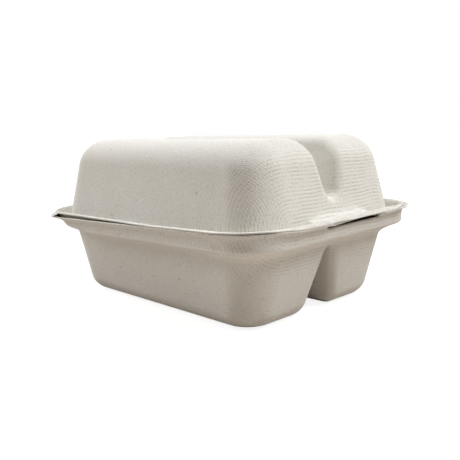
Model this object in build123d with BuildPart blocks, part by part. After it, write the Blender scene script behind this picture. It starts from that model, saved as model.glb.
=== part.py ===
import os
from math import cos, radians, sin

from build123d import *

os.makedirs("parts", exist_ok=True)

# Two-compartment taco box of moulded plant fibre, closed.
# X runs along the compartments, from the fold at -X to the lock at +X. Z is up, and the tray stands on z = 0.

# Moulding
wall = 1.1
nesting_gap = 0.4

# Rim, where the flanges of the tray and the lid meet. It rises towards the lock, by a tilt in degrees,
# while the floors of the troughs and the tops of the humps are level
rim_height = 46.5
rim_tilt = 1.8
rim_length = 181.0
rim_width = 133.0
tray_rim_corner = 24.0
lid_rim_corner = 31.0
flange_width = 3.2

# The lid's flange lifts off the tray's towards the fold
lift_start = 20.0
fold_lift = 2.5

# Tray: a drafted band under the flange, a sloping shoulder, then two troughs with a valley between them
band_height = 9.0
band_inset = 2.0
band_edge_radius = 1.8
shoulder_drop = 3.0
shoulder_ledge = 2.2
trough_fillet = 1.4
trough_root_rise = 4.5
trough_end_clearance = 10.7
trough_side_clearance = 11.7
trough_root_corner = 20.0
trough_end_taper = 11.3
trough_side_taper = 5.8
trough_corner_taper = 4.0
trough_floor_radius = 7.5
tray_valley_height = 32.3
tray_valley_radius = 3.0
tray_valley_draft = 14.0
tray_valley_edge_radius = 4.5

# Lid: a gutter that nests inside the tray's band, then two humps with a valley between them
gutter_depth = 4.5
hump_end_clearance = 7.9
hump_side_clearance = 10.1
hump_foot_corner = 21.0
hump_root_drop = 4.0
hump_height = 39.5
hump_end_taper = 8.8
hump_side_taper = 8.4
hump_corner_taper = 5.0
hump_top_radius = 12.0
lid_valley_rise = 8.5
lid_valley_radius = 4.0
lid_valley_draft = 12.5
lid_valley_edge_radius = 4.5

# Lock: a flat pad on the lid, a slot in the tray's rim, and a tongue that reaches into the slot
slot_length = 39.0
slot_height = 1.8
pad_margin = 1.5
tongue_gap = 0.5
tongue_setback = 1.2
tongue_drop_near = 1.4
tongue_drop_far = 0.5

# Fold: a web that closes the gap between the flanges
fold_gap = 0.15

shoulder_top = rim_height - band_height
shoulder_bottom = shoulder_top - shoulder_drop
trough_root_height = shoulder_top + trough_root_rise
hump_foot_height = rim_height - gutter_depth
hump_top_height = rim_height + hump_height
hump_top_length = rim_length - 2 * (hump_end_clearance + hump_end_taper)
lock_end = rim_length / 2
fold_end = -rim_length / 2
rim_axis = Axis((0, 0, rim_height), (0, 1, 0))


def band_section(height, inset):
    """Size and corner radius of the tray's band at a height, moved in by an inset."""
    shrink = flange_width + band_inset * (rim_height - height) / band_height + inset
    return (rim_length - 2 * shrink, rim_width - 2 * shrink), tray_rim_corner - shrink


def trough_section(height, inset):
    """Size and corner radius of the pair of troughs at a height, moved in by an inset."""
    share = 1 - height / trough_root_height
    length = rim_length - 2 * (trough_end_clearance + trough_end_taper * share + inset)
    width = rim_width - 2 * (trough_side_clearance + trough_side_taper * share + inset)
    return (length, width), trough_root_corner - trough_corner_taper * share - inset


def hump_section(share, inset):
    """Size and corner radius of the pair of humps, from foot (0) to top (1), moved in by an inset."""
    length = rim_length - 2 * (hump_end_clearance + hump_end_taper * share + inset)
    width = rim_width - 2 * (hump_side_clearance + hump_side_taper * share + inset)
    return (length, width), hump_foot_corner - hump_corner_taper * share - inset


def drafted_block(low, low_section, high, high_section, mode=Mode.ADD):
    """Straight drafted sides between two rounded rectangles at two heights."""
    with BuildSketch(Plane.XY.offset(low)) as low_face:
        RectangleRounded(*low_section[0], low_section[1])
    with BuildSketch(Plane.XY.offset(high)) as high_face:
        RectangleRounded(*high_section[0], high_section[1])
    loft([low_face.sketch, high_face.sketch], mode=mode)


def twin_form(
    root, root_section, end, end_section, end_radius, valley_height, valley_radius, draft, edge_radius
):
    """A drafted block, rounded at its closed end, turned against the rim, and split by a valley along X."""
    up = 1 if end > root else -1
    last = -1 if end > root else 0
    slope = radians(draft)
    arc_middle = valley_height + up * valley_radius
    tangent_y = valley_radius * cos(slope)
    tangent_z = arc_middle - up * valley_radius * sin(slope)
    past_end = end + up * end_radius
    mouth_y = tangent_y + abs(past_end - tangent_z) * sin(slope) / cos(slope)
    with BuildPart() as block:
        drafted_block(root, root_section, end, end_section)
        end_face = block.faces().sort_by(Axis.Z)[last]
        fillet(end_face.edges().sort_by(Axis.X), end_radius)
    with BuildPart() as form:
        add(block.part.rotate(rim_axis, rim_tilt))
        with BuildSketch(Plane.YZ):
            with BuildLine():
                Line((-mouth_y, past_end), (-tangent_y, tangent_z))
                ThreePointArc((-tangent_y, tangent_z), (0, valley_height), (tangent_y, tangent_z))
                Line((tangent_y, tangent_z), (mouth_y, past_end))
                Line((mouth_y, past_end), (-mouth_y, past_end))
            make_face()
        extrude(amount=root_section[0][0], both=True, mode=Mode.SUBTRACT)
        sides = form.faces().filter_by(lambda f: abs(f.center().Y) < mouth_y and abs(f.normal_at().X) < 0.1)
        crests = sides.edges().filter_by(lambda e: abs((e % 0.5).X) > 0.99).group_by(Axis.Z)[last]
        fillet(crests, edge_radius)
    return form.part


def tray_form(inset):
    """The pair of troughs, moved in by an inset."""
    return twin_form(
        trough_root_height,
        trough_section(trough_root_height, inset),
        inset,
        trough_section(0, inset),
        trough_floor_radius - inset,
        tray_valley_height + inset,
        tray_valley_radius + inset,
        tray_valley_draft,
        tray_valley_edge_radius - inset,
    )


def lid_form(inset):
    """The pair of humps, moved in by an inset."""
    return twin_form(
        hump_foot_height - hump_root_drop,
        hump_section(-hump_root_drop / (hump_top_height - hump_foot_height), inset),
        hump_top_height - inset,
        hump_section(1, inset),
        hump_top_radius - inset,
        rim_height + lid_valley_rise - inset,
        lid_valley_radius + inset,
        lid_valley_draft,
        lid_valley_edge_radius - inset,
    )


tray_outside = tray_form(0)
tray_inside = tray_form(wall)
lid_outside = lid_form(0)
lid_inside = lid_form(wall)

# Tray, in the frame of its rim
with BuildPart() as tray_moulding:
    # Flange
    with BuildSketch(Plane.XY.offset(rim_height - wall)):
        RectangleRounded(rim_length, rim_width, tray_rim_corner)
    extrude(amount=wall)

    # Band, shoulder and troughs, with the moulding's soft edges
    drafted_block(shoulder_top, band_section(shoulder_top, 0), rim_height, band_section(rim_height, 0))
    drafted_block(
        shoulder_bottom,
        trough_section(shoulder_bottom, -shoulder_ledge),
        shoulder_top,
        band_section(shoulder_top, 0),
    )
    add(tray_outside)
    band_edges = tray_moulding.edges().filter_by_position(Axis.Z, shoulder_top, shoulder_top)
    fillet(band_edges, band_edge_radius)
    level_faces = tray_moulding.faces().filter_by(Plane.XY)
    ledge = level_faces.filter_by_position(Axis.Z, shoulder_bottom, shoulder_bottom)
    fillet(ledge.wires().edges(), trough_fillet)

    # The inside follows the outside, one wall further in
    drafted_block(
        shoulder_top + wall / 2,
        band_section(shoulder_top, wall),
        rim_height,
        band_section(rim_height, wall),
        mode=Mode.SUBTRACT,
    )
    drafted_block(
        shoulder_bottom + wall,
        trough_section(shoulder_bottom, wall - shoulder_ledge),
        shoulder_top + wall / 2,
        band_section(shoulder_top, wall),
        mode=Mode.SUBTRACT,
    )
    add(tray_inside, mode=Mode.SUBTRACT)

    # Slot at the lock, through the flange and the top of the band
    with BuildSketch(Plane.YZ.offset(lock_end - flange_width - 2 * wall)):
        with Locations((0, rim_height - slot_height / 2)):
            Rectangle(slot_length, slot_height)
    extrude(amount=flange_width + 2 * wall, mode=Mode.SUBTRACT)

    # Web of the fold, on the straight run of the flange's end
    with BuildSketch(Plane.YZ.offset(fold_end)):
        with Locations((0, rim_height)):
            Rectangle(rim_width - 2 * tray_rim_corner, fold_lift - fold_gap, align=(Align.CENTER, Align.MIN))
    extrude(amount=wall)

# Lid, in the frame of the tray's rim
with BuildPart() as lid_moulding:
    # The flange lies on the tray's from the lock to lift_start, then lifts off it to the fold
    with BuildSketch(Plane.XZ):
        with BuildLine():
            Polyline(
                (lock_end, rim_height),
                (lift_start, rim_height),
                (fold_end, rim_height + fold_lift),
                (fold_end, rim_height + fold_lift + wall),
                (lift_start, rim_height + wall),
                (lock_end, rim_height + wall),
                close=True,
            )
        make_face()
    extrude(amount=rim_width / 2, both=True)
    with BuildSketch(Plane.XY.offset(rim_height)):
        RectangleRounded(rim_length, rim_width, lid_rim_corner)
    extrude(amount=fold_lift + wall, mode=Mode.INTERSECT)

    # Gutter, nested inside the tray's band and ending at the lifted flange
    plug = wall + nesting_gap
    gutter_top = rim_height + fold_lift + wall
    gutter_foot = band_section(hump_foot_height, plug)
    drafted_block(hump_foot_height, gutter_foot, gutter_top, band_section(gutter_top, plug))
    drafted_block(
        hump_foot_height + wall,
        band_section(hump_foot_height + wall, plug + wall),
        gutter_top,
        band_section(gutter_top, plug + wall),
        mode=Mode.SUBTRACT,
    )
    with BuildSketch(Plane.XZ):
        with BuildLine():
            Polyline(
                (lock_end, rim_height + wall),
                (lift_start, rim_height + wall),
                (fold_end, gutter_top),
                (lock_end, gutter_top),
                close=True,
            )
        make_face()
    extrude(amount=rim_width / 2, both=True, mode=Mode.SUBTRACT)

    # Flat pad between the humps at the lock, level with the flange
    pad_start = hump_top_length / 2
    pad_reach = lock_end - flange_width - plug
    pad_width = slot_length + 2 * pad_margin
    with BuildSketch(Plane.XY.offset(hump_foot_height)):
        with Locations((pad_start, 0)):
            Rectangle(pad_reach - pad_start - band_inset, pad_width, align=(Align.MIN, Align.CENTER))
    extrude(amount=gutter_depth + wall)
    with BuildSketch(Plane.XY.offset(rim_height)):
        with Locations((pad_start, 0)):
            Rectangle(pad_reach - pad_start, pad_width, align=(Align.MIN, Align.CENTER))
    extrude(amount=wall)

    # Humps, ending at the gutter's underside and hollow from below, and the pad hollow too
    add(lid_outside)
    with BuildSketch(Plane.XY.offset(hump_foot_height)):
        Rectangle(rim_length, rim_width)
    extrude(amount=-gutter_depth - 2 * hump_root_drop, mode=Mode.SUBTRACT)
    add(lid_inside, mode=Mode.SUBTRACT)
    with BuildSketch(Plane.XY.offset(hump_foot_height)):
        Rectangle(pad_reach, pad_width - 2 * wall, align=(Align.MIN, Align.CENTER))
    extrude(amount=gutter_depth, mode=Mode.SUBTRACT)

    # Tongue under the flange, deeper at one end
    tongue_half = slot_length / 2 - tongue_gap
    with BuildSketch(Plane.YZ.offset(lock_end - tongue_setback - wall)):
        with BuildLine():
            Polyline(
                (-tongue_half, rim_height),
                (-tongue_half, rim_height - tongue_drop_near),
                (tongue_half, rim_height - tongue_drop_far),
                (tongue_half, rim_height),
                close=True,
            )
        make_face()
    extrude(amount=wall)

# The finished halves, turned so that the floors are level, with the box centred along its length
tray_level = tray_moulding.part.rotate(rim_axis, -rim_tilt)
lid_level = lid_moulding.part.rotate(rim_axis, -rim_tilt)
centring = (-Compound([tray_level, lid_level]).bounding_box().center().X, 0, 0)
with BuildPart() as tray:
    add(tray_level.translate(centring))
tray.part.label = "tray"
export_step(tray.part, "parts/tray.step")

with BuildPart() as lid:
    add(lid_level.translate(centring))
lid.part.label = "lid"
export_step(lid.part, "parts/lid.step")
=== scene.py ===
from math import atan2, cos, pi, radians, sin, tan

import bpy
import numpy as np
from mathutils import Matrix, Vector


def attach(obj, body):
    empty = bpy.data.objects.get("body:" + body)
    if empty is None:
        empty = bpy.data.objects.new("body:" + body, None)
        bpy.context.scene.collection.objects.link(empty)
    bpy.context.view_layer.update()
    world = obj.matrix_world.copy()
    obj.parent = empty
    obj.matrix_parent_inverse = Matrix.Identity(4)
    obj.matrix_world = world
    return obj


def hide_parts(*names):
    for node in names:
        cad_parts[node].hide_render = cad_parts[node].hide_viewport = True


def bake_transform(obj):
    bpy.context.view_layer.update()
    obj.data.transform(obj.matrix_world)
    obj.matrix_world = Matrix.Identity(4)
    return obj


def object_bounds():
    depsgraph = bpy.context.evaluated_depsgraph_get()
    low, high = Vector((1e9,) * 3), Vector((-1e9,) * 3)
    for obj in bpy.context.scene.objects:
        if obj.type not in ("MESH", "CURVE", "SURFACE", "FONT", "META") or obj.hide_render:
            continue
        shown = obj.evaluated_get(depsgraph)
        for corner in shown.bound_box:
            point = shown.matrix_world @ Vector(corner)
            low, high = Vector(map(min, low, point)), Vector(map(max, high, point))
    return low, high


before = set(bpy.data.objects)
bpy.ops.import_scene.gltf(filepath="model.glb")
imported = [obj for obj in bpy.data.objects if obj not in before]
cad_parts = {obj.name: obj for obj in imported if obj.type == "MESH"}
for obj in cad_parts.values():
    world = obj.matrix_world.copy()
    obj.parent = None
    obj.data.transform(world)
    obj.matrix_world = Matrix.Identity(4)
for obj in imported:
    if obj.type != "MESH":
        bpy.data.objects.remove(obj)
cad_low, cad_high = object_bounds()

# Tray
# The lower half of a taco box, pressed wet from plant fibre over a wire screen and dried hot.
# Two troughs hang side by side from a sloping shoulder and a drafted band, under a thin flange.
# The rim rises a little towards the lock, where a slot goes through the flange and the band.
MM = 0.001  # The box's lengths are in millimetres.
wall = 1.1
rim_height, rim_tilt, rim_middle = 46.5, radians(1.8), 0.04
rim_half_x, rim_half_y = 90.5, 66.5
tray_corner, near_corner = 24.0, 29.0
edge_bulge, edge_wander, edge_play = 0.25, 0.2, 0.12
across_wave, slant_wave = 1.37, 2.3
tray_edge_pitch, tray_edge_seed, tray_inset = 37.0, 0.6, 0.4
flange_width, flange_dish, dish_width = 3.2, 0.2, 6.0
flange_root_radius = 1.4
curl_drop, curl_width, curl_start, curl_run = 1.6, 2.6, 40.0, 45.0
curl_first, curl_rise, curl_end, curl_fade = -56.0, 28.0, 58.0, 30.0
pressed_edge, pressed_width = 0.6, 4.0
band_height, band_inset, band_edge_radius, band_fold_slope = 9.0, 2.0, 1.8, 2.2
ridge_drop, ridge_fall, ridge_lift, ridge_lift_start, ridge_lift_run = 8.1, 0.011, 3.0, 30.0, 55.0
bead_rise, bead_radius, bead_height = 0.5, 1.5, 1.0
shoulder_drop, shoulder_ledge, shoulder_radius = 3.0, 2.2, 4.5
trough_root_height = 42.0
trough_end_clearance, trough_side_clearance = 10.7, 11.7
trough_end_taper, trough_side_taper, trough_corner_taper = 11.3, 5.8, 4.0
trough_root_corner, trough_floor_radius = 20.0, 7.5
tray_valley_height, tray_valley_radius, tray_valley_draft = 32.3, 3.0, 14.0
tray_valley_edge_radius = 4.5
slot_half, slot_middle, slot_height, slot_depth, slot_radius = 21.0, 5.5, 3.8, 5.4, 0.5
fold_half, fold_reach = 42.0, 1.8


def to_rim(points):
    """The points in the rim's own frame, in which the rim lies level."""
    x, y, rise = points[:, 0] - rim_middle, points[:, 1], points[:, 2] - rim_height
    along = x * cos(rim_tilt) + rise * sin(rim_tilt)
    return np.stack([along, y, rim_height + rise * cos(rim_tilt) - x * sin(rim_tilt)], 1)


def from_rim(points):
    """Points of the rim's own frame, back in the box's frame."""
    x, y, rise = points[:, 0], points[:, 1], points[:, 2] - rim_height
    along = rim_middle + x * cos(rim_tilt) - rise * sin(rim_tilt)
    return np.stack([along, y, rim_height + rise * cos(rim_tilt) + x * sin(rim_tilt)], 1)


def plan_distance(points, half_x, half_y, corner):
    """Distance in plan from a rounded rectangle, below zero inside it."""
    across = np.abs(points[:, 0]) - half_x + corner
    along = np.abs(points[:, 1]) - half_y + corner
    outside = np.hypot(np.maximum(across, 0), np.maximum(along, 0))
    return outside + np.minimum(np.maximum(across, along), 0) - corner


def shared(a, b, radius):
    """What two forms share, with the edge between them rounded off."""
    round_off = np.hypot(np.maximum(a + radius, 0), np.maximum(b + radius, 0))
    return np.minimum(np.maximum(a, b), -radius) + round_off


def joined(a, b, radius):
    """Two forms together, with the corner between them filled to a radius."""
    fill = np.hypot(np.maximum(radius - a, 0), np.maximum(radius - b, 0))
    return np.maximum(np.minimum(a, b), radius) - fill


def valley(points, rise, radius, draft):
    """The open space of a drafted groove along X with a round bottom.

    rise is how far a point is out of that bottom.
    """
    slope = radians(draft)
    half_floor = radius * (cos(slope) - tan(slope) + sin(slope) * tan(slope))
    side = (np.abs(points[:, 1]) - half_floor - rise * tan(slope)) * cos(slope)
    return shared(side, -rise, radius)


def band_distance(rim, height):
    """Distance in plan from the tray's band as wide as it is at a height in the rim's frame."""
    shrink = flange_width + band_inset * (rim_height - height) / band_height
    fold_slope = band_fold_slope * np.clip(rim_height - height, 0, None)
    ends = rim - np.where(rim[:, 0] < 0, fold_slope, 0)[:, None] * np.array([1, 0, 0])
    return plan_distance(ends, rim_half_x - shrink, rim_half_y - shrink, tray_corner - shrink)


def outline_distance(rim, corner):
    """Distance in plan from a half's outline. Its corner by the lock and the front is the roundest."""
    near = (rim[:, 0] > 0) & (rim[:, 1] < 0)
    return plan_distance(rim, rim_half_x, rim_half_y, np.where(near, near_corner, corner))


def rim_depth(rim):
    """How far in plan a point is inside the tray's outline."""
    return np.maximum(-outline_distance(rim, tray_corner), 0)


def smooth(share):
    """A soft step from 0 to 1."""
    share = np.clip(share, 0, 1)
    return share * share * (3 - 2 * share)


def sheet_thickness(rim):
    """The sheet is pressed thinner towards the flange's edge."""
    return wall * (pressed_edge + (1 - pressed_edge) * smooth(rim_depth(rim) / pressed_width))


def at_lock(rim):
    """How near the lock a point is: 0 along most of the box, 1 at the lock's end between its corners."""
    from_front = smooth((rim[:, 1] - curl_first) / curl_rise)
    from_back = smooth((curl_end - rim[:, 1]) / curl_fade)
    return smooth((rim[:, 0] - curl_start) / curl_run) * from_front * from_back


def flange_plane(rim):
    """Height over the tray flange's upper face, a little dished, with its edge turned down at the lock."""
    depth = rim_depth(rim)
    curl = curl_drop * at_lock(rim) * smooth(1 - depth / curl_width)
    return rim[:, 2] - rim_height + flange_dish * np.minimum(depth, dish_width) + curl


def over_ridge(rim):
    """Height over the band's lower edge, which rises towards the fold."""
    ridge = rim_height - ridge_drop - ridge_fall * rim[:, 0]
    return rim[:, 2] - ridge - ridge_lift * smooth((-rim[:, 0] - ridge_lift_start) / ridge_lift_run)


def tray_form(points):
    """Below zero inside the filled tray and everywhere above the underside of its flange."""
    z, rim = points[:, 2], to_rim(points)
    share = 1 - z / trough_root_height
    sides = cos(atan2(trough_side_taper, trough_root_height)) * plan_distance(
        points,
        rim_half_x - trough_end_clearance - trough_end_taper * share,
        rim_half_y - trough_side_clearance - trough_side_taper * share,
        trough_root_corner - trough_corner_taper * share,
    )
    troughs = shared(sides, -z, trough_floor_radius)
    groove = valley(rim, tray_valley_height - rim[:, 2], tray_valley_radius, tray_valley_draft)
    troughs = shared(troughs, -groove, tray_valley_edge_radius)
    ridge = rim[:, 2] - over_ridge(rim)
    top_shrink = flange_width + band_inset
    ledge_share = 1 - (ridge - shoulder_drop) / trough_root_height
    ledge_shrink = trough_end_clearance + trough_end_taper * ledge_share - shoulder_ledge
    slope = (ledge_shrink - top_shrink) / shoulder_drop
    shrink = top_shrink + slope * (ridge - rim[:, 2])
    shoulder = plan_distance(rim, rim_half_x - shrink, rim_half_y - shrink, tray_corner - top_shrink)
    shoulder *= np.cos(np.arctan(slope))
    band = shared(band_distance(rim, rim[:, 2]), shoulder, band_edge_radius)
    bead = band_distance(rim, ridge + bead_height) + bead_radius - bead_rise
    bead = np.hypot(bead, rim[:, 2] - ridge - bead_height) - bead_radius
    band = joined(band, bead, bead_radius)
    band = shared(band, ridge - shoulder_drop - rim[:, 2], wall)
    body = joined(troughs, band, shoulder_radius)
    return joined(body, -flange_plane(rim) - sheet_thickness(rim), flange_root_radius)


def wander(points, pitch, seed):
    """A slow smooth wave along the rim, as the trimmed edge of a fibre moulding has. Between -1 and 1."""
    turn = 2 * pi / pitch
    waves = np.sin(points[:, 0] * turn + seed) + np.sin(points[:, 1] * turn * across_wave + 2 * seed)
    waves += np.sin((points[:, 0] + points[:, 1]) * turn * slant_wave + 3 * seed)
    return waves / 3


def trimmed_edge(rim, corner, pitch, seed, inset=0.0):
    """Below zero inside a flange's cut edge, which keeps back by an inset at the lock."""
    edge = outline_distance(rim, corner)
    edge += edge_play + edge_bulge + edge_wander * (1 + wander(rim, pitch, seed)) + inset * at_lock(rim)
    fold = np.maximum(np.abs(rim[:, 1]) - fold_half, rim[:, 0] + rim_half_x - fold_reach)
    return np.maximum(edge, -fold)


def tray_trim(points):
    """Below zero where the tray's sheet is kept: inside its edge, short of the fold, and outside the slot."""
    rim = to_rim(points)
    slot_end = np.abs(rim[:, 1] - slot_middle) - slot_half
    slot = shared(slot_end, rim_height - slot_height - rim[:, 2], slot_radius)
    slot = shared(slot, rim_half_x - slot_depth - rim[:, 0], edge_bulge)
    edge = trimmed_edge(rim, tray_corner, tray_edge_pitch, tray_edge_seed, tray_inset)
    return np.maximum(edge, -slot)


def slope_of(field, points, step=0.02):
    """The field's gradient at the points."""
    steps = np.eye(3) * step
    return np.stack([(field(points + s) - field(points - s)) / (2 * step) for s in steps], 1)


def settle(field, points, turns):
    """Moves the points onto the field's zero surface."""
    for _ in range(turns):
        slope = slope_of(field, points)
        length = np.maximum((slope**2).sum(1), least_slope)
        points = points - (field(points) / length)[:, None] * slope
    return points


def skin(field, low, high, cell):
    """An even mesh of four-sided faces on the field's zero surface, facing the side above zero."""
    axes = [np.arange(a, b + cell, cell) for a, b in zip(low, high)]
    grid = np.stack(np.meshgrid(*axes, indexing="ij"), -1)
    inside = field(grid.reshape(-1, 3)).reshape(grid.shape[:3]) < 0
    count = np.zeros(np.array(inside.shape) - 1, int)
    for corner in np.ndindex(2, 2, 2):
        count += inside[tuple(slice(c, n - 1 + c) for c, n in zip(corner, inside.shape))]
    crossed = (count > 0) & (count < 8)
    index = np.full(count.shape, -1)
    index[crossed] = np.arange(crossed.sum())
    points = grid[:-1, :-1, :-1][crossed] + cell / 2
    quads = []
    for axis in range(3):
        sides = [(axis + 1) % 3, (axis + 2) % 3]
        start = [slice(1, -1)] * 3
        end = list(start)
        start[axis] = slice(0, -1)
        end[axis] = slice(1, None)
        first, second = inside[tuple(start)], inside[tuple(end)]
        at = np.argwhere(first != second)
        leaving = first[first != second]
        at[:, sides] += 1
        back, left = np.eye(3, dtype=int)[sides]
        ring = [at - back - left, at - left, at, at - back]
        quad = np.stack([index[tuple(r.T)] for r in ring], 1)
        quads.append(np.where(leaving[:, None], quad, quad[:, ::-1]))
    return points, np.concatenate(quads)


def relaxed(field, points, quads, turns):
    """Evens out the spacing of a skin's points while they stay on the field's surface."""
    pairs = np.concatenate([quads[:, [i, (i + 1) % 4]] for i in range(4)])
    degree = np.bincount(pairs.ravel(), minlength=len(points))
    for _ in range(turns):
        total = np.zeros_like(points)
        np.add.at(total, pairs[:, 0], points[pairs[:, 1]])
        np.add.at(total, pairs[:, 1], points[pairs[:, 0]])
        points = settle(field, total / np.maximum(degree, 1)[:, None], 1)
    return points


def fibre_piece(name, points, faces, screen, ridge):
    """A smooth mesh object from points in millimetres.

    screen holds where each point lay on the wire screen, and ridge its height over the band's lower edge.
    """
    mesh = bpy.data.meshes.new(name)
    mesh.from_pydata(points * MM, [], faces)
    mesh.validate()
    mesh.shade_smooth()
    mesh.attributes.new("screen", "FLOAT_VECTOR", "POINT").data.foreach_set("vector", screen.ravel())
    mesh.attributes.new("ridge", "FLOAT", "POINT").data.foreach_set("value", ridge)
    piece = bpy.data.objects.new(name, mesh)
    bpy.context.scene.collection.objects.link(piece)
    return piece


def screen_place(points, normal, reach):
    """Where points lay on the screen, whose wires lie along the walls and turn in arcs round the corners.

    The print is clear at the lock's end, within its reach of the rim, and pressed almost smooth elsewhere.
    """
    x, y, nx, ny = np.abs([points[:, 0], points[:, 1], normal[:, 0], normal[:, 1]])
    turn = np.arctan2(ny, nx) * smooth(np.hypot(nx, ny) / print_upright)
    along = print_corner * turn + np.maximum(print_side - x, 0) - np.maximum(print_end - y, 0)
    rise = np.abs(to_rim(points)[:, 2] - rim_height)
    clear = smooth(points[:, 0] / print_run) * (1 - smooth((rise - reach) / print_fade))
    level = plan_distance(points, print_ring * rim_half_x, print_ring * rim_half_y, print_corner)
    rise += np.maximum(-level, 0)
    first = np.hypot(np.maximum(along, 0), rise)
    second = np.hypot(np.maximum(print_corner * pi / 2 - along, 0), rise)
    strength = print_least + (1 - print_least) * clear
    return np.stack([first, second, strength], 1)


def moulded_shell(name, field, trim, low, high, print_reach, has_ridge):
    """A closed sheet one wall thick under the field's surface, trimmed, with a rounded cut edge."""
    points, quads = skin(field, low, high, cell)
    points = settle(field, points, first_turns)
    points = settle(field, relaxed(field, points, quads, relax_turns), last_turns)
    quads = quads[trim(points[quads].mean(1)) < 0]
    used, quads = np.unique(quads, return_inverse=True)
    points, quads = points[used], quads.reshape(-1, 4)
    pairs = np.concatenate([quads[:, [i, (i + 1) % 4]] for i in range(4)])
    keys = np.sort(pairs, 1)
    keys = keys[:, 0] * len(points) + keys[:, 1]
    _, first, times = np.unique(keys, return_index=True, return_counts=True)
    rim_pairs = pairs[first[times == 1]]
    rim = np.unique(rim_pairs)
    for _ in range(edge_turns):
        points[rim] = settle(field, settle(trim, points[rim], 1), 1)
    normal = slope_of(field, points)
    normal /= np.linalg.norm(normal, axis=1)[:, None]
    outward = slope_of(trim, points[rim])
    outward -= (outward * normal[rim]).sum(1)[:, None] * normal[rim]
    outward /= np.linalg.norm(outward, axis=1)[:, None]
    inner = points - normal * sheet_thickness(to_rim(points))[:, None]
    edge = (points[rim] + inner[rim]) / 2 + outward * edge_bulge
    n = len(points)
    edge_of = np.zeros(n, int)
    edge_of[rim] = 2 * n + np.arange(len(rim))
    a, b = rim_pairs.T
    upper = np.stack([b, a, edge_of[a], edge_of[b]], 1)
    lower = np.stack([edge_of[b], edge_of[a], a + n, b + n], 1)
    faces = np.concatenate([quads, quads[:, ::-1] + n, upper, lower])
    screen = screen_place(points, normal, print_reach)
    screen = np.concatenate([screen, screen, screen[rim]])
    ridge = np.full(len(screen), no_ridge)
    if has_ridge:
        ridge[:n] = over_ridge(to_rim(points))
    return fibre_piece(name, np.concatenate([points, inner, edge]), faces.tolist(), screen, ridge)


cell = 1.2
margin = 3 * cell
first_turns, relax_turns, last_turns, edge_turns, least_slope = 3, 4, 2, 6, 0.2
no_ridge = 99.0
print_run, print_least, print_fade, tray_print_reach = 60.0, 0.25, 10.0, 17.0
print_corner, print_side, print_end, print_upright, print_ring = 18.0, 60.0, 36.0, 0.6, 0.8
tray_shell = moulded_shell(
    "tray_shell",
    tray_form,
    tray_trim,
    (-rim_half_x - margin, -rim_half_y - margin, -margin),
    (rim_half_x + margin, rim_half_y + margin, rim_height + 2 * margin),
    tray_print_reach,
    has_ridge=True,
)
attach(tray_shell, "tray")
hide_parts("tray")


# Moulded bagasse fibre, pressed on a wire screen and dried hot: matt, warm off-white and a little cloudy.
# The screen's wires leave fine lines in relief, with painted shade greying their grooves, and rind leaves a few
# brown flecks.
# The fuzz stands for single fibres. They are too fine to show, so it is drawn coarser than they are.
def linear(code):
    """An sRGB hex colour as linear red, green, blue and alpha."""
    parts = [int(code[i : i + 2], 16) / 255 for i in (1, 3, 5)]
    return [p / 12.92 if p <= 0.04045 else ((p + 0.055) / 1.055) ** 2.4 for p in parts] + [1.0]


def add(tree, kind, settings={}, inputs={}):
    """Adds a node, sets its options, and fills or links its inputs by their names or numbers."""
    made = tree.nodes.new(kind)
    for key, value in settings.items():
        setattr(made, key, value)
    for key, value in inputs.items():
        if isinstance(value, bpy.types.NodeSocket):
            tree.links.new(value, made.inputs[key])
        else:
            made.inputs[key].default_value = value
    return made


wire_pitch, cross_pitch, cross_share, wire_waver, waver_size = 1.7, 1.2, 0.6, 1.9, 18.0
patch_size, patch_low, patch_high, patch_least = 7.0, 0.35, 0.65, 0.2
fuzz_size, cloud_size, noise_middle = 0.9, 22.0, 0.5
waver_detail, patch_detail, fuzz_detail, cloud_detail = 1.0, 2.0, 3.0, 3.0
relief_depth, fuzz_share, corner_loss = 0.045, 1.7, 0.45
# These set where painted shade greys the print's grooves, by how low the relief lies.
groove_shade_start, groove_shade_full, groove_shade_share = 0.1, -1.2, 0.75
# These place a painted highlight, a paler line just above the tray band's lower edge.
ridge_highlight_height, ridge_highlight_half, ridge_highlight_core, ridge_highlight_share = 0.4, 0.7, 0.2, 0.5
fleck_cell, fleck_radius, fleck_core, fleck_share = 8.0, 0.5, 0.3, 0.6
fleck_stretch, ragged_size = (0.55, 1.0, 1.0), 1.25
# The brown-grey colour is painted shade for the print's grooves.
fibre_face, fibre_groove_shade, fibre_cloud = "#EAE8E3", "#C9BFB3", "#E3DED5"
# The palest colour is a painted highlight along the tray band's ridge.
fibre_ridge_highlight, rind = "#F4F2ED", "#8A6C50"
fibre_roughness, fibre_specular = 0.9, 0.2
fibre = bpy.data.materials.new("moulded_bagasse_fibre")
fibre.use_nodes = True
tree = fibre.node_tree
shader = tree.nodes["Principled BSDF"]
place = add(tree, "ShaderNodeTexCoord").outputs["Object"]
place = add(tree, "ShaderNodeVectorMath", {"operation": "SCALE"}, {0: place, "Scale": 1 / MM}).outputs[0]
print_at = add(tree, "ShaderNodeAttribute", {"attribute_name": "screen"}).outputs["Vector"]
print_at = add(tree, "ShaderNodeSeparateXYZ", {}, {0: print_at}).outputs
waver = add(
    tree, "ShaderNodeTexNoise", {}, {"Vector": place, "Scale": 1 / waver_size, "Detail": waver_detail}
).outputs["Fac"]
waver = add(tree, "ShaderNodeMath", {"operation": "MULTIPLY"}, {0: waver, 1: wire_waver}).outputs[0]
patch = add(
    tree, "ShaderNodeTexNoise", {}, {"Vector": place, "Scale": 1 / patch_size, "Detail": patch_detail}
).outputs["Fac"]
patch = add(
    tree, "ShaderNodeMapRange", {}, {0: patch, 1: patch_low, 2: patch_high, 3: patch_least, 4: 1.0}
).outputs[0]
wires = []
for axis, pitch in enumerate((wire_pitch, cross_pitch)):
    turns = 2 * pi / pitch
    across = add(tree, "ShaderNodeMath", {"operation": "ADD"}, {0: print_at[axis], 1: waver}).outputs[0]
    across = add(tree, "ShaderNodeMath", {"operation": "MULTIPLY"}, {0: across, 1: turns}).outputs[0]
    wires.append(add(tree, "ShaderNodeMath", {"operation": "SINE"}, {0: across}).outputs[0])
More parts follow.
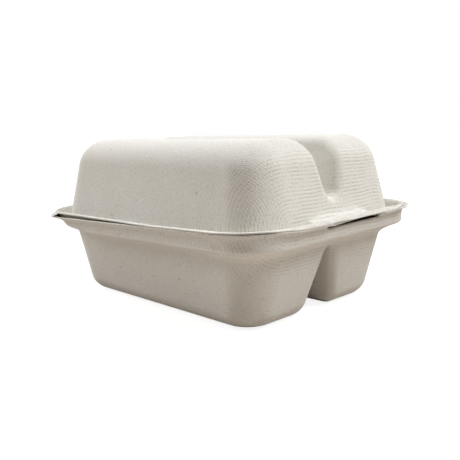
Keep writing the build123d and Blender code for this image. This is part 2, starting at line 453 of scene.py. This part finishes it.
# The second family of wires shows only where the sheet turns a corner, and the first is fainter there.
facing = add(tree, "ShaderNodeTexCoord").outputs["Normal"]
facing = add(tree, "ShaderNodeSeparateXYZ", {}, {0: facing}).outputs
turned = add(tree, "ShaderNodeMath", {"operation": "MULTIPLY"}, {0: facing[0], 1: facing[1]}).outputs[0]
turned = add(tree, "ShaderNodeMath", {"operation": "ABSOLUTE"}, {0: turned}).outputs[0]
cross = add(tree, "ShaderNodeMath", {"operation": "MULTIPLY"}, {0: turned, 1: 2 * cross_share}).outputs[0]
cross = add(tree, "ShaderNodeMath", {"operation": "MULTIPLY"}, {0: wires[1], 1: cross}).outputs[0]
weave = add(
    tree, "ShaderNodeMath", {"operation": "MULTIPLY_ADD"}, {0: turned, 1: -2 * corner_loss, 2: 1.0}
).outputs[0]
weave = add(
    tree, "ShaderNodeMath", {"operation": "MULTIPLY_ADD"}, {0: wires[0], 1: weave, 2: cross}
).outputs[0]
weave = add(tree, "ShaderNodeMath", {"operation": "MULTIPLY"}, {0: weave, 1: patch}).outputs[0]
weave = add(tree, "ShaderNodeMath", {"operation": "MULTIPLY"}, {0: weave, 1: print_at[2]}).outputs[0]
fuzz = add(
    tree, "ShaderNodeTexNoise", {}, {"Vector": place, "Scale": 1 / fuzz_size, "Detail": fuzz_detail}
).outputs["Fac"]
fuzz = add(tree, "ShaderNodeMath", {"operation": "SUBTRACT"}, {0: fuzz, 1: noise_middle}).outputs[0]
relief = add(
    tree, "ShaderNodeMath", {"operation": "MULTIPLY_ADD"}, {0: fuzz, 1: 2 * fuzz_share, 2: weave}
).outputs[0]
bump = add(tree, "ShaderNodeBump", {}, {"Height": relief, "Distance": relief_depth * MM})
cloud = add(
    tree, "ShaderNodeTexNoise", {}, {"Vector": place, "Scale": 1 / cloud_size, "Detail": cloud_detail}
).outputs["Fac"]
face = add(
    tree,
    "ShaderNodeMix",
    {"data_type": "RGBA"},
    {0: cloud, 6: linear(fibre_face), 7: linear(fibre_cloud)},
).outputs[2]
# Painted shade: where the relief is low, in the print's grooves, the colour is mixed towards a greyer one.
groove = add(
    tree, "ShaderNodeMapRange", {}, {0: relief, 1: groove_shade_start, 2: groove_shade_full, 3: 0.0, 4: groove_shade_share}
).outputs[0]
face = add(
    tree, "ShaderNodeMix", {"data_type": "RGBA"}, {0: groove, 6: face, 7: linear(fibre_groove_shade)}
).outputs[2]
# Painted highlight: a paler line along the band's lower edge, where its ridge would catch the light from above.
ridge_highlight = add(tree, "ShaderNodeAttribute", {"attribute_name": "ridge"}).outputs["Fac"]
ridge_highlight = add(tree, "ShaderNodeMath", {"operation": "SUBTRACT"}, {0: ridge_highlight, 1: ridge_highlight_height}).outputs[0]
ridge_highlight = add(tree, "ShaderNodeMath", {"operation": "ABSOLUTE"}, {0: ridge_highlight}).outputs[0]
ridge_highlight = add(
    tree, "ShaderNodeMapRange", {}, {0: ridge_highlight, 1: ridge_highlight_half, 2: ridge_highlight_core * ridge_highlight_half, 3: 0.0, 4: ridge_highlight_share}
).outputs[0]
face = add(tree, "ShaderNodeMix", {"data_type": "RGBA"}, {0: ridge_highlight, 6: face, 7: linear(fibre_ridge_highlight)}).outputs[2]
ragged = add(tree, "ShaderNodeTexNoise", {}, {"Vector": place, "Scale": 1 / ragged_size}).outputs["Color"]
ragged = add(
    tree, "ShaderNodeVectorMath", {"operation": "MULTIPLY_ADD"}, {0: place, 1: fleck_stretch, 2: ragged}
).outputs[0]
fleck = add(tree, "ShaderNodeTexVoronoi", {}, {"Vector": ragged, "Scale": 1 / fleck_cell}).outputs["Distance"]
fleck_edge = fleck_radius / fleck_cell
fleck = add(
    tree,
    "ShaderNodeMapRange",
    {},
    {0: fleck, 1: fleck_edge, 2: fleck_core * fleck_edge, 3: 0.0, 4: fleck_share},
).outputs[0]
face = add(tree, "ShaderNodeMix", {"data_type": "RGBA"}, {0: fleck, 6: face, 7: linear(rind)}).outputs[2]
tree.links.new(face, shader.inputs["Base Color"])
tree.links.new(bump.outputs["Normal"], shader.inputs["Normal"])
shader.inputs["Roughness"].default_value = fibre_roughness
shader.inputs["Specular IOR Level"].default_value = fibre_specular
tray_shell.data.materials.append(fibre)

# Lid
# The upper half, pressed in the same sheet as the tray. Two humps with a valley between them rise from a
# gutter that nests inside the tray's band, and a flat pad at the lock bears on the tray's rim.
# Its flange lifts off the tray's towards the fold.
lid_corner = 31.0
lid_edge_pitch, lid_edge_seed = 43.0, 1.9
nesting_gap, flange_gap = 0.4, 0.1
lift_start, fold_lift = 20.0, 2.5
lid_setback, setback_run = 0.9, 25.0
gutter_depth, gutter_radius, lip_radius = 4.5, 0.9, 1.6
hump_end_clearance, hump_side_clearance, hump_foot_corner = 7.9, 10.1, 21.0
hump_end_taper, hump_side_taper, hump_corner_taper = 9.5, 8.4, 5.0
hump_top_radius, hump_foot_radius, hump_top_play = 12.5, 1.0, 0.1
lid_valley_rise, lid_valley_radius, lid_valley_draft = 8.5, 4.0, 12.5
lid_valley_edge_radius = 4.5
pad_half, pad_corner, pad_radius = 21.0, 8.0, 3.5
hump_foot_height = rim_height - gutter_depth
hump_top_height = cad_high.z / MM - hump_top_play
lid_print_reach = 28.0


def lift(x):
    """How far the lid's flange is off the tray's, in the rim's frame."""
    return flange_gap + fold_lift * np.clip((lift_start - x) / (lift_start + rim_half_x), 0, 1)


def lid_form(points):
    """Below zero under the lid's upper skin."""
    z, rim = points[:, 2], to_rim(points)
    share = (z - hump_foot_height) / (hump_top_height - hump_foot_height)
    sides = cos(atan2(hump_side_taper, hump_top_height - hump_foot_height)) * plan_distance(
        points,
        rim_half_x - hump_end_clearance - hump_end_taper * share,
        rim_half_y - hump_side_clearance - hump_side_taper * share,
        hump_foot_corner - hump_corner_taper * share,
    )
    humps = shared(sides, z - hump_top_height, hump_top_radius)
    over_valley = rim[:, 2] - rim_height - lid_valley_rise
    groove = valley(rim, over_valley, lid_valley_radius, lid_valley_draft)
    humps = shared(humps, -groove, lid_valley_edge_radius)
    ground = joined(humps, rim[:, 2] - hump_foot_height - wall, hump_foot_radius)
    inset = 2 * wall + nesting_gap
    top = flange_plane(rim) - sheet_thickness(rim) - lift(rim[:, 0])
    pad = np.maximum(np.abs(rim[:, 1]) - pad_half, rim_half_x / 2 - rim[:, 0])
    lip = joined(-band_distance(rim, rim[:, 2]) - inset, pad, pad_corner)
    at_pad = smooth((pad_half - np.abs(rim[:, 1])) / pad_corner) * (rim[:, 0] > 0)
    foot_radius = gutter_radius + (pad_radius - gutter_radius) * at_pad
    return joined(ground, shared(lip, top, lip_radius), foot_radius)


def lid_trim(points):
    """Below zero where the lid's sheet is kept: inside its edge, set back where it lifts, short of the fold."""
    rim = to_rim(points)
    from_lock = smooth((lift_start - rim[:, 0]) / setback_run)
    from_fold = smooth((rim[:, 0] + rim_half_x) / setback_run)
    edge = trimmed_edge(rim, lid_corner, lid_edge_pitch, lid_edge_seed)
    return edge + lid_setback * (from_lock * from_fold)


lid_shell = moulded_shell(
    "lid_shell",
    lid_form,
    lid_trim,
    (-rim_half_x - margin, -rim_half_y - margin, hump_foot_height - 2 * margin),
    (rim_half_x + margin, rim_half_y + margin, hump_top_height + margin),
    lid_print_reach,
    has_ridge=False,
)
lid_shell.data.materials.append(fibre)
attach(lid_shell, "lid")
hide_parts("lid")

# Tongue
# A lip of the lid's own sheet, turned down under its flange at the lock.
# It reaches into the tray's slot, deeper at the front than at the back.
tongue_half, tongue_setback, tongue_root, tongue_taper = 19.6, 1.3, -0.9, 0.55
tongue_drop_front, tongue_drop_back = 2.4, 1.3
tongue_waver, tongue_wave, tongue_columns = 0.08, 1.3, 40
tongue_thinning = np.array([1, 1, 1, 0.9, 0.6])
lip_thickness, sharp_angle = 1.0, radians(50)


def lip_ring(middle, outward, thickness):
    """The outline of a lip's section: half a thickness to either side of points in the rim's frame."""
    offset = np.broadcast_to(outward, middle.shape) * thickness / 2
    return np.concatenate([middle + offset, (middle - offset)[::-1]])


def strip(name, rings):
    """A closed skin over rings of points in the rim's frame, with a cap at each end."""
    rings = np.asarray(rings)
    count, around = rings.shape[:2]
    points = from_rim(rings.reshape(-1, 3))
    i, j = np.meshgrid(np.arange(count - 1) * around, np.arange(around), indexing="ij")
    after = (j + 1) % around
    sides = np.stack([i + j, i + after, i + after + around, i + j + around], -1).reshape(-1, 4)
    caps = [list(range(around))[::-1], list(range((count - 1) * around, count * around))]
    screen = np.column_stack([points[:, :2], np.full(len(points), print_least)])
    piece = fibre_piece(name, points, sides.tolist() + caps, screen, np.full(len(points), no_ridge))
    piece.data.set_sharp_from_angle(angle=sharp_angle)
    return piece


tongue_rows = len(tongue_thinning)
tongue_rings = []
for y in np.linspace(slot_middle - tongue_half, slot_middle + tongue_half, tongue_columns):
    share = (y - slot_middle + tongue_half) / (2 * tongue_half)
    drop = tongue_drop_front + (tongue_drop_back - tongue_drop_front) * min(share / tongue_taper, 1)
    drop += tongue_waver * sin(tongue_wave * y)
    heights = np.linspace(tongue_root, -drop, tongue_rows)
    across = np.full(tongue_rows, rim_half_x - tongue_setback - lip_thickness / 2)
    middle = np.stack([across, np.full(tongue_rows, y), rim_height + heights], 1)
    tongue_rings.append(lip_ring(middle, (1, 0, 0), lip_thickness * tongue_thinning[:, None]))
tongue = strip("tongue", tongue_rings)
tongue.data.materials.append(fibre)
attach(tongue, "lid")

# Fold
# The bend of the one sheet that the tray and the lid are pressed from, along the straight of the short end.
# Past its ends the sheet stands up from the tray's flange round the corners.
# There it closes the gap under the lid's flange.
fold_start = -rim_half_x + fold_reach
fold_overlap, fold_inset, fold_lap, fold_thickness = 0.6, 0.1, 0.2, 0.75
fold_waver, fold_wave, fold_columns, fold_steps = 0.1, 0.7, 70, 15
fold_level = rim_height - flange_dish * fold_reach
fold_low = fold_level - fold_thickness / 2
fold_high = fold_level + fold_thickness / 2 + lift(fold_start)
fold_turns = np.radians(np.linspace(-90, 90, fold_steps))
turn_out, turn_up = np.cos(fold_turns), np.sin(fold_turns)
bend_reach = fold_reach - fold_thickness / 2 - fold_inset
bend_height = (fold_low + fold_high) / 2 + (fold_high - fold_low) / 2 * turn_up
bend = np.stack([fold_start - bend_reach * turn_out, bend_height], 1)
fold_root = fold_start + fold_overlap
bend = np.concatenate([[(fold_root, fold_low)], bend, [(fold_root, fold_high)]])
bend_out = np.concatenate([[(0, -1)], np.stack([-turn_out, turn_up], 1), [(0, 1)]])
bend_out = np.stack([bend_out[:, 0], np.zeros(len(bend)), bend_out[:, 1]], 1)
fold_rings = []
for y in np.linspace(-fold_half - fold_lap, fold_half + fold_lap, fold_columns):
    middle = np.stack([bend[:, 0], np.full(len(bend), y), bend[:, 1]], 1)
    middle[1:-1, 0] += fold_waver * np.sin(fold_wave * y) * turn_out
    fold_rings.append(lip_ring(middle, bend_out, fold_thickness))
fold = strip("fold", fold_rings)
fold.data.materials.append(fibre)
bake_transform(fold)

corner_first, corner_last, corner_round = -3.0, 80.0, 4.0
corner_inset, corner_bulge, corner_sink, corner_play = 0.9, 0.35, 0.3, 0.2
corner_columns, corner_rows, corner_least = 40, 7, 0.03
for name, side in (("fold_corner_front", -1), ("fold_corner_back", 1)):
    rings = []
    for angle in np.linspace(corner_first, corner_last, corner_columns):
        out = np.array([-cos(radians(angle)), side * sin(radians(angle)), 0])
        foot, head = [
            np.array([-rim_half_x + corner, side * (rim_half_y - corner), rim_height])
            + out * (corner - corner_inset)
            for corner in (tray_corner, lid_corner)
        ]
        foot[2] -= corner_sink
        head[2] += lift(head[0]) - corner_play
        closing = max(0.0, (angle - corner_last + corner_round) / corner_round)
        rise = (head - foot) * max(corner_least, 1 - closing**2) ** 0.5
        shares = np.linspace(0, 1, corner_rows)[:, None]
        middle = foot + rise * shares + out * corner_bulge * 4 * shares * (1 - shares)
        rings.append(lip_ring(middle, out, lip_thickness))
    # The front lip's rings are taken in the other order, so that both lips face outward.
    corner_lip = strip(name, rings[::side])
    corner_lip.data.materials.append(fibre)
    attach(corner_lip, "tray")

# Stage
# A plain pale floor that the box stands on and that runs on into a white surround.
# Three large soft lamps and a faint even fill light it. Its lengths are in metres.
floor_half = 3.0
floor_corners = [(x * floor_half, y * floor_half, 0) for x, y in ((-1, -1), (1, -1), (1, 1), (-1, 1))]
floor_mesh = bpy.data.meshes.new("floor")
floor_mesh.from_pydata(floor_corners, [], [(0, 1, 2, 3)])
floor = bpy.data.objects.new("floor", floor_mesh)
bpy.context.scene.collection.objects.link(floor)


def plainly_seen(tree):
    """1 where the camera sees a surface, straight or by gloss or glass, and 0 where it only gives light."""
    path = add(tree, "ShaderNodeLightPath").outputs
    seen = add(tree, "ShaderNodeMath", {}, {0: path["Is Camera Ray"], 1: path["Is Glossy Ray"]}).outputs[0]
    through = path["Is Transmission Ray"]
    return add(tree, "ShaderNodeMath", {"use_clamp": True}, {0: seen, 1: through}).outputs[0]


# White paper sweep: matt, and white in the picture, with a faint shadow under the box.
paper_bounce, paper_matt, paper_white = "#C9C0B6", "#9A9894", "#FFFFFF"
glow_near, glow_far, glow_least = 0.2, 0.6, 0.86
paper = bpy.data.materials.new("white_paper_sweep")
paper.use_nodes = True
tree = paper.node_tree
tree.nodes.remove(tree.nodes["Principled BSDF"])
bounce = add(tree, "ShaderNodeBsdfDiffuse", {}, {"Color": linear(paper_bounce)}).outputs[0]
matt = add(tree, "ShaderNodeBsdfDiffuse", {}, {"Color": linear(paper_matt)}).outputs[0]
spread = add(tree, "ShaderNodeTexCoord").outputs["Object"]
spread = add(tree, "ShaderNodeVectorMath", {"operation": "LENGTH"}, {0: spread}).outputs["Value"]
spread = add(
    tree, "ShaderNodeMapRange", {}, {0: spread, 1: glow_near, 2: glow_far, 3: glow_least, 4: 1.0}
).outputs[0]
glow = add(tree, "ShaderNodeEmission", {}, {"Color": linear(paper_white), "Strength": spread}).outputs[0]
lit = add(tree, "ShaderNodeAddShader", {}, {0: matt, 1: glow}).outputs[0]
sweep = add(tree, "ShaderNodeMixShader", {}, {0: plainly_seen(tree), 1: bounce, 2: lit}).outputs[0]
tree.links.new(sweep, tree.nodes["Material Output"].inputs["Surface"])
floor_mesh.materials.append(paper)

# Studio: an even surround, white where the camera sees it.
surround_colour, surround_strength = (1.0, 0.85, 0.75, 1.0), 0.1
world = bpy.data.worlds.new("studio")
world.use_nodes = True
tree = world.node_tree
surround = tree.nodes["Background"]
surround.inputs["Color"].default_value = surround_colour
surround.inputs["Strength"].default_value = surround_strength
backdrop = add(tree, "ShaderNodeBackground", {}, {"Color": linear(paper_white), "Strength": 1.0}).outputs[0]
sky = add(
    tree, "ShaderNodeMixShader", {}, {0: plainly_seen(tree), 1: surround.outputs[0], 2: backdrop}
).outputs[0]
tree.links.new(sky, tree.nodes["World Output"].inputs["Surface"])
bpy.context.scene.world = world

# Soft lamps: square, a little cool, and turned to the box.
lamp_distance, lamp_size, lamp_colour = 1.6, 0.8, (0.95, 0.98, 1)
lamp_aim = Vector((0, 0, 0.05))
for name, direction, power in (
    ("key_lamp", (0.8, 0.45, 0.95), 18.5),
    ("top_lamp", (0.1, 0.1, 1.0), 10.5),
    ("side_lamp", (-0.8, -0.4, 0.45), 17),
):
    lamp = bpy.data.lights.new(name, "AREA")
    lamp.size = lamp_size
    lamp.energy = power
    lamp.color = lamp_colour
    holder = bpy.data.objects.new(name, lamp)
    holder.location = lamp_aim + Vector(direction).normalized() * lamp_distance
    holder.rotation_euler = (lamp_aim - holder.location).to_track_quat("-Z", "Y").to_euler()
    bpy.context.scene.collection.objects.link(holder)

# Camera
# It stands where the photograph was taken from, low and a little rolled.
# Its distance and aim are in millimetres, and its focal length is in pixels of the photograph's frame.
camera_azimuth, camera_elevation, camera_roll = radians(46.2), radians(9.97), radians(-1.95)
camera_distance = 340.7
camera_aim = Vector((7.2, 0.2, 34.6))
focal_pixels, frame_pixels, sensor_width = 607.9, 460, 36.0
clip_near, clip_far = 0.01, 50
right = Vector((cos(camera_azimuth), sin(camera_azimuth), 0))
back = Vector(
    (
        sin(camera_azimuth) * cos(camera_elevation),
        -cos(camera_azimuth) * cos(camera_elevation),
        sin(camera_elevation),
    )
)
up = back.cross(right)
right, up = (
    cos(camera_roll) * right + sin(camera_roll) * up,
    cos(camera_roll) * up - sin(camera_roll) * right,
)
lens = bpy.data.cameras.new("camera")
lens.sensor_width = sensor_width
lens.lens = sensor_width * focal_pixels / frame_pixels
lens.clip_start, lens.clip_end = clip_near, clip_far
camera = bpy.data.objects.new("camera", lens)
camera_turn = Matrix((right, up, back)).transposed().to_4x4()
camera.matrix_world = Matrix.Translation((camera_aim + back * camera_distance) * MM) @ camera_turn
bpy.context.scene.collection.objects.link(camera)
bpy.context.scene.camera = camera
bpy.context.scene.view_settings.view_transform = "Standard"
